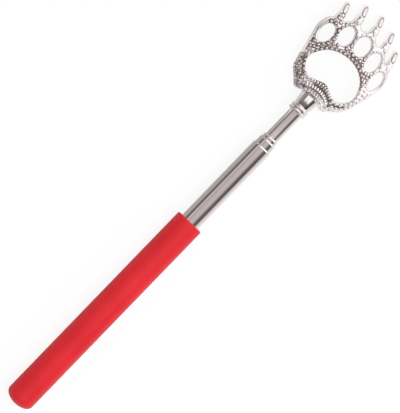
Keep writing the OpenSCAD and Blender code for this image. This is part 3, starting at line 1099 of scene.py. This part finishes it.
# Brightness of the sky by degrees round the rod from the camera's side, to the left negative: square to the
# rod, ahead of the paw, a little behind the square, far behind it, and in a pale band within that
SKY_SQUARE = [
    (-180, 0.4), (-75, 0.2), (-68, 0.12), (-58, 0.14), (-50, 0.36), (-43, 0.78), (-34, 0.58), (-24, 0.48),
    (-8, 0.6), (20, 0.64), (34, 0.48), (46, 0.24), (56, 0.12), (68, 0.1), (76, 0.22), (88, 0.6),
    (100, 0.85), (180, 0.9),
]
SKY_AHEAD = [(-180, 0.4), (-74, 0.36), (-45, 0.45), (-25, 1.3), (90, 1.3), (110, 1.0), (180, 1.0)]
SKY_BEHIND = [
    (-180, 0.4), (-74, 0.36), (-56, 0.4), (-44, 0.2), (-36, 0.2), (-27, 1.2), (34, 1.2), (42, 0.2),
    (58, 0.1), (74, 0.1), (86, 0.85), (180, 0.9),
]
SKY_FAR = [
    (-180, 0.4), (-84, 0.8), (-74, 0.75), (-62, 0.2), (-54, 0.14), (-44, 0.2), (20, 0.2), (42, 0.16),
    (52, 0.05), (74, 0.05), (90, 0.85), (180, 0.9),
]
SKY_BACK = [(-180, 0.4), (-74, 0.5), (-50, 0.95), (30, 0.95), (45, 0.5), (58, 0.6), (70, 0.85), (180, 0.9)]
# Where each takes over from the one before, by the direction's part along the rod: begin and full
SKY_ZONES = [
    (0.19, 0.34, SKY_AHEAD),
    (-0.06, -0.13, SKY_BEHIND),
    (-0.262, -0.29, SKY_FAR),
    (-0.5, -0.54, SKY_BACK),
    (-0.78, -0.85, SKY_FAR),
]
# Powers of the brightness in red, green and blue, which warm the dark bands
SKY_WARMTH = (1, 1.08, 1.1)

# Soft lamp over the rod: direction, distance and side in metres, and power
KEY_FROM = Vector((-0.1, -0.3, 1.2))
KEY_DISTANCE = 0.9
KEY_SIDE = 0.8
KEY_POWER = 4.2
# Small lamp that the paw's right rim reflects: the place it faces in millimetres from the neck's end, its
# angle round the rod, distance and side in metres, and power
RIM_LAMP_X = 18
RIM_LAMP_Y = -16
RIM_LAMP_ANGLE = math.radians(65)
RIM_LAMP_DISTANCE = 0.05
RIM_LAMP_SIDE = 0.032
RIM_LAMP_POWER = 0.004


def floor_tones(nodes, links):
    """Colour that the floor has in reflections."""
    place = nodes.new("ShaderNodeNewGeometry")
    parts = nodes.new("ShaderNodeSeparateXYZ")
    links.new(place.outputs["Position"], parts.inputs["Vector"])
    tones = ramp(nodes, [(0.5 + left / FLOOR_REACH / 2, tone) for left, tone in FLOOR_TONES])
    side = between(nodes, links, parts.outputs["Y"], -FLOOR_REACH * MM, FLOOR_REACH * MM)
    links.new(side, tones.inputs["Fac"])
    begin, end = FLOOR_PALE[0][0], FLOOR_PALE[-1][0]
    pale = ramp(nodes, [((reach - begin) / (end - begin), share) for reach, share in FLOOR_PALE])
    limits = [(ROD_START + PAW_X + reach) * MM for reach in (begin, end)]
    links.new(between(nodes, links, parts.outputs["X"], *limits), pale.inputs["Fac"])
    return mixed(nodes, links, pale.outputs["Color"], tones.outputs["Color"], WHITE)


def floor_material():
    """Matt white that glows in reflections and is almost clear to the camera."""
    material, nodes, links, shader = new_material("floor_white")
    shader.inputs["Base Color"].default_value = (FLOOR_GREY, FLOOR_GREY, FLOOR_GREY, 1)
    shader.inputs["Roughness"].default_value = 0.9
    shader.inputs["Specular IOR Level"].default_value = 0
    glow = nodes.new("ShaderNodeEmission")
    links.new(floor_tones(nodes, links), glow.inputs["Color"])
    clear = nodes.new("ShaderNodeBsdfTransparent")
    rays = nodes.new("ShaderNodeLightPath")
    surface = shader.outputs["BSDF"]
    for ray, share, other in (("Is Glossy Ray", FLOOR_GLOW, glow), ("Is Camera Ray", FLOOR_CLEAR, clear)):
        mix = nodes.new("ShaderNodeMixShader")
        links.new(maths(nodes, links, "MULTIPLY", rays.outputs[ray], share), mix.inputs["Fac"])
        links.new(surface, mix.inputs[1])
        links.new(other.outputs[0], mix.inputs[2])
        surface = mix.outputs["Shader"]
    links.new(surface, nodes["Material Output"].inputs["Surface"])
    return material


def stage_floor():
    """Flat square under the object."""
    corners = [(-1, -1), (1, -1), (1, 1), (-1, 1)]
    mesh = bpy.data.meshes.new("floor")
    mesh.from_pydata([(x * FLOOR_HALF, y * FLOOR_HALF, 0) for x, y in corners], [], [(0, 1, 2, 3)])
    mesh.materials.append(floor_material())
    floor = bpy.data.objects.new("floor", mesh)
    bpy.context.scene.collection.objects.link(floor)


def studio_sky():
    """Sky that is white to the camera, and has bands along the rod for the light and the reflections."""
    world = bpy.data.worlds.new("studio")
    world.use_nodes = True
    nodes, links = world.node_tree.nodes, world.node_tree.links
    place = nodes.new("ShaderNodeTexCoord").outputs["Generated"]

    def part_along(direction):
        """Part of the sky's direction along another."""
        node = nodes.new("ShaderNodeVectorMath")
        node.operation = "DOT_PRODUCT"
        node.inputs[1].default_value = direction
        links.new(place, node.inputs[0])
        return node.outputs["Value"]

    angle = maths(nodes, links, "ARCTAN2", part_along(across_rod), part_along(towards))
    share = between(nodes, links, angle, -math.pi, math.pi)

    def bands(stops):
        """Colours round the rod through (degrees, brightness) stops."""
        colours = [[tone**power for power in SKY_WARMTH] for _, tone in stops]
        node = ramp(nodes, [(0.5 + degrees / 360, colour) for (degrees, _), colour in zip(stops, colours)])
        links.new(share, node.inputs["Fac"])
        return node.outputs["Color"]

    forward = part_along(along_rod)
    sky = bands(SKY_SQUARE)
    for begin, full, stops in SKY_ZONES:
        sky = mixed(nodes, links, between(nodes, links, forward, begin, full), sky, bands(stops))
    rays = nodes.new("ShaderNodeLightPath")
    sky = mixed(nodes, links, rays.outputs["Is Camera Ray"], sky, WHITE)
    links.new(sky, nodes["Background"].inputs["Color"])
    bpy.context.scene.world = world


def soft_lamp(name, target, offset, side, power, in_metal):
    """Square area lamp that faces a place from an offset, and may show as a shape in the metal."""
    data = bpy.data.lights.new(name, "AREA")
    data.size = side
    data.energy = power
    lamp = bpy.data.objects.new(name, data)
    lamp.location = target + offset
    lamp.rotation_euler = (-offset).to_track_quat("-Z", "Y").to_euler()
    lamp.visible_camera = False
    lamp.visible_glossy = in_metal
    bpy.context.scene.collection.objects.link(lamp)


stage_floor()
studio_sky()
soft_lamp("key", Vector((0, 0, 0)), KEY_FROM.normalized() * KEY_DISTANCE, KEY_SIDE, KEY_POWER, in_metal=False)
rim_place = Vector(((ROD_START + PAW_X + RIM_LAMP_X) * MM, RIM_LAMP_Y * MM, AXIS_H * MM))
rim_side = math.cos(RIM_LAMP_ANGLE) * towards + math.sin(RIM_LAMP_ANGLE) * across_rod
soft_lamp("card", rim_place, rim_side * RIM_LAMP_DISTANCE, RIM_LAMP_SIDE, RIM_LAMP_POWER, in_metal=True)
bpy.context.scene.view_settings.view_transform = "Standard"

bpy.context.view_layer.update()
